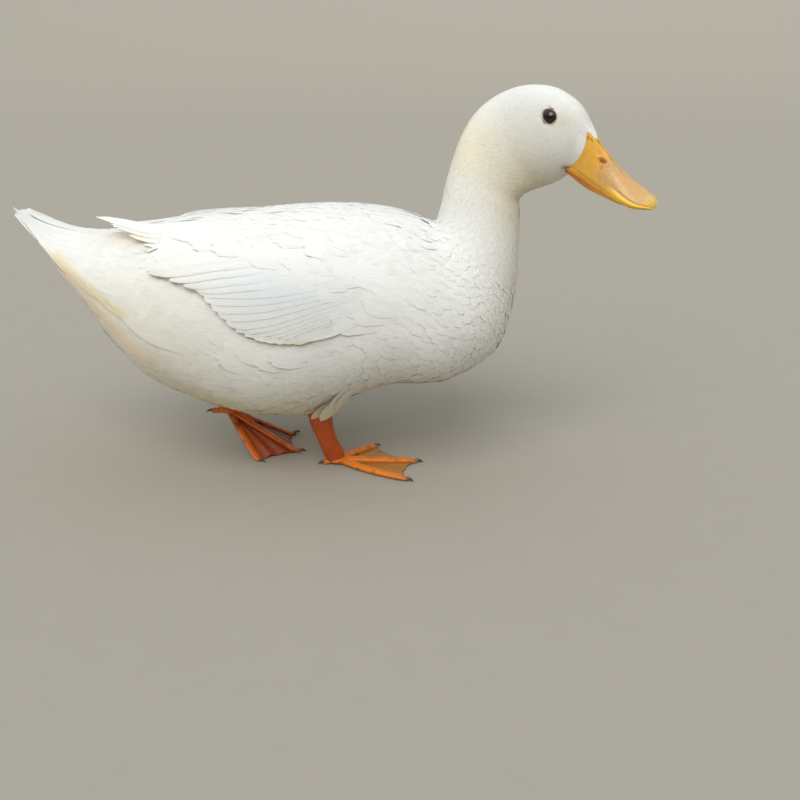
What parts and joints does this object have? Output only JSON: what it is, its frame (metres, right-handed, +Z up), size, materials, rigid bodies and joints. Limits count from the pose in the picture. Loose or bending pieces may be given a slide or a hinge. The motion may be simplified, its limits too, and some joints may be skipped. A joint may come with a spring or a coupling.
{
  "type": "white domestic duck",
  "caption": "Life-size white domestic duck caught in mid-step, head turned and bill lowered, wings folded, webbed feet, one heel raised.",
  "frame": {"origin": "on the floor, under the middle of the duck's bounding box", "axes": "+X the way the duck walks, +Y its left, +Z up"},
  "size_m": [0.4923, 0.1866, 0.3074],
  "materials": {
    "plumage": "matt white feathers",
    "bill": "satin horn, ochre to flesh",
    "leg_skin": "scaled orange skin",
    "claw": "satin dark horn",
    "eye": "wet gloss dark brown"
  },
  "bodies": {
    "root": {"trunk": "plumage", "tail": "plumage", "neck": "plumage", "head": "plumage", "wing_left": "plumage", "wing_right": "plumage", "bill_upper": "bill", "bill_lower": "bill", "eye_left": "eye", "eye_right": "eye", "leg_left": "leg_skin", "leg_right": "leg_skin", "foot_left": "leg_skin", "foot_right": "leg_skin", "claw_left_outer": "claw", "claw_left_middle": "claw", "claw_left_inner": "claw", "claw_left_hind": "claw", "claw_right_outer": "claw", "claw_right_middle": "claw", "claw_right_inner": "claw", "claw_right_hind": "claw"}
  },
  "joints": []
}
